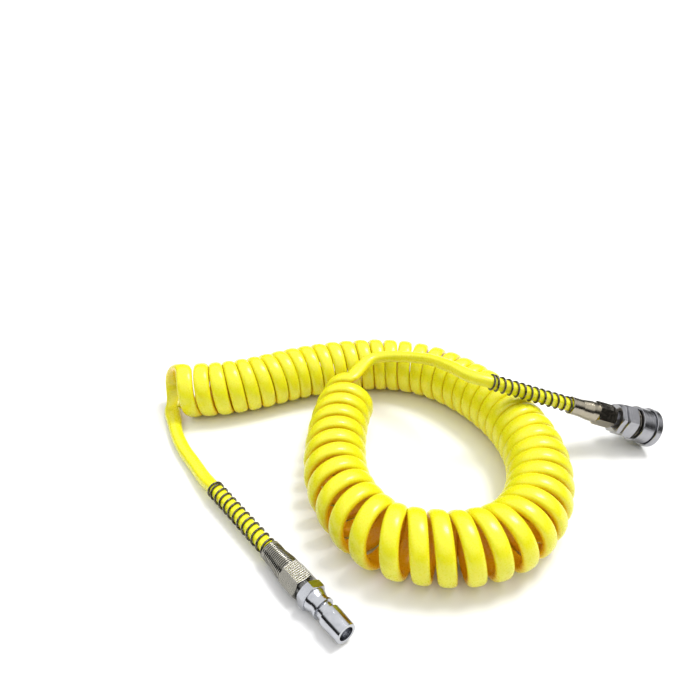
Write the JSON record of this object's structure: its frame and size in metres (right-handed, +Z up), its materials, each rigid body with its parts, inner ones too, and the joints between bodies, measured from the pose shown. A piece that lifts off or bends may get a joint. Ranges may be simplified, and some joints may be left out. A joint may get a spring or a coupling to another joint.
{
  "type": "coiled air hose",
  "caption": "Coiled polyurethane air hose with a spring guard at each end, a quick-connect plug on one end and a sleeve-locking coupler on the other.",
  "frame": {"origin": "centre of the bounding box, on the plane the hose lies on", "axes": "+Z up, +X towards the coupler, the plug at the front (-Y)"},
  "size_m": [0.3477, 0.2465, 0.0601],
  "materials": {
    "hose": "glossy polyurethane",
    "guard_wire": "dark spring steel",
    "nut_steel": "turned and plated",
    "plated": "satin chrome",
    "rubber": "matt"
  },
  "bodies": {
    "hose_and_fittings": {"hose_coil": "hose", "hose_lead_plug": "hose", "hose_lead_coupler": "hose", "hose_end_plug": "hose", "hose_end_coupler": "hose", "plug_spring_guard": "guard_wire", "plug_nut": "nut_steel", "plug_body": "plated", "coupler_spring_guard": "guard_wire", "coupler_nut": "nut_steel", "coupler_tail": "plated", "tail_o_ring": "rubber", "coupler_body": "plated", "socket_seal": "rubber", "valve_spring": "nut_steel", "sleeve_spring": "nut_steel", "sleeve_stop_ring": "guard_wire"},
    "sleeve": {"sleeve": "plated"},
    "valve": {"valve_poppet": "nut_steel"},
    "ball_1": {"ball_1": "plated"},
    "ball_2": {"ball_2": "plated"},
    "ball_3": {"ball_3": "plated"},
    "ball_4": {"ball_4": "plated"},
    "ball_5": {"ball_5": "plated"},
    "ball_6": {"ball_6": "plated"}
  },
  "joints": [
    {"name": "sleeve_slide", "type": "slide", "parent": "hose_and_fittings", "child": "sleeve", "axis": [-0.9386, -0.0459, 0.342], "range_m": [0, 0.0025], "stiffness_N_per_m": 1500, "springref_m": -0.006, "deforming": ["sleeve_spring"]},
    {"name": "valve_slide", "type": "slide", "parent": "hose_and_fittings", "child": "valve", "axis": [-0.9386, -0.0459, 0.342], "range_m": [0, 0.0038], "stiffness_N_per_m": 400, "springref_m": -0.005, "deforming": ["valve_spring"]},
    {"name": "ball_1_slide", "type": "slide", "parent": "hose_and_fittings", "child": "ball_1", "axis": [0.3203, -0.4849, 0.8138], "range_m": [0, 0.0009]},
    {"name": "ball_2_slide", "type": "slide", "parent": "hose_and_fittings", "child": "ball_2", "axis": [0.0488, -0.9988, 0], "range_m": [0, 0.0009]},
    {"name": "ball_3_slide", "type": "slide", "parent": "hose_and_fittings", "child": "ball_3", "axis": [-0.2714, -0.5139, -0.8138], "range_m": [0, 0.0009]},
    {"name": "ball_4_slide", "type": "slide", "parent": "hose_and_fittings", "child": "ball_4", "axis": [-0.3203, 0.4849, -0.8138], "range_m": [0, 0.0009]},
    {"name": "ball_5_slide", "type": "slide", "parent": "hose_and_fittings", "child": "ball_5", "axis": [-0.0488, 0.9988, 0], "range_m": [0, 0.0009]},
    {"name": "ball_6_slide", "type": "slide", "parent": "hose_and_fittings", "child": "ball_6", "axis": [0.2714, 0.5139, 0.8138], "range_m": [0, 0.0009]}
  ],
  "couplings": [
    {"joint": "ball_1_slide", "follows": "sleeve_slide", "ratio": 0.36},
    {"joint": "ball_2_slide", "follows": "sleeve_slide", "ratio": 0.36},
    {"joint": "ball_3_slide", "follows": "sleeve_slide", "ratio": 0.36},
    {"joint": "ball_4_slide", "follows": "sleeve_slide", "ratio": 0.36},
    {"joint": "ball_5_slide", "follows": "sleeve_slide", "ratio": 0.36},
    {"joint": "ball_6_slide", "follows": "sleeve_slide", "ratio": 0.36}
  ]
}
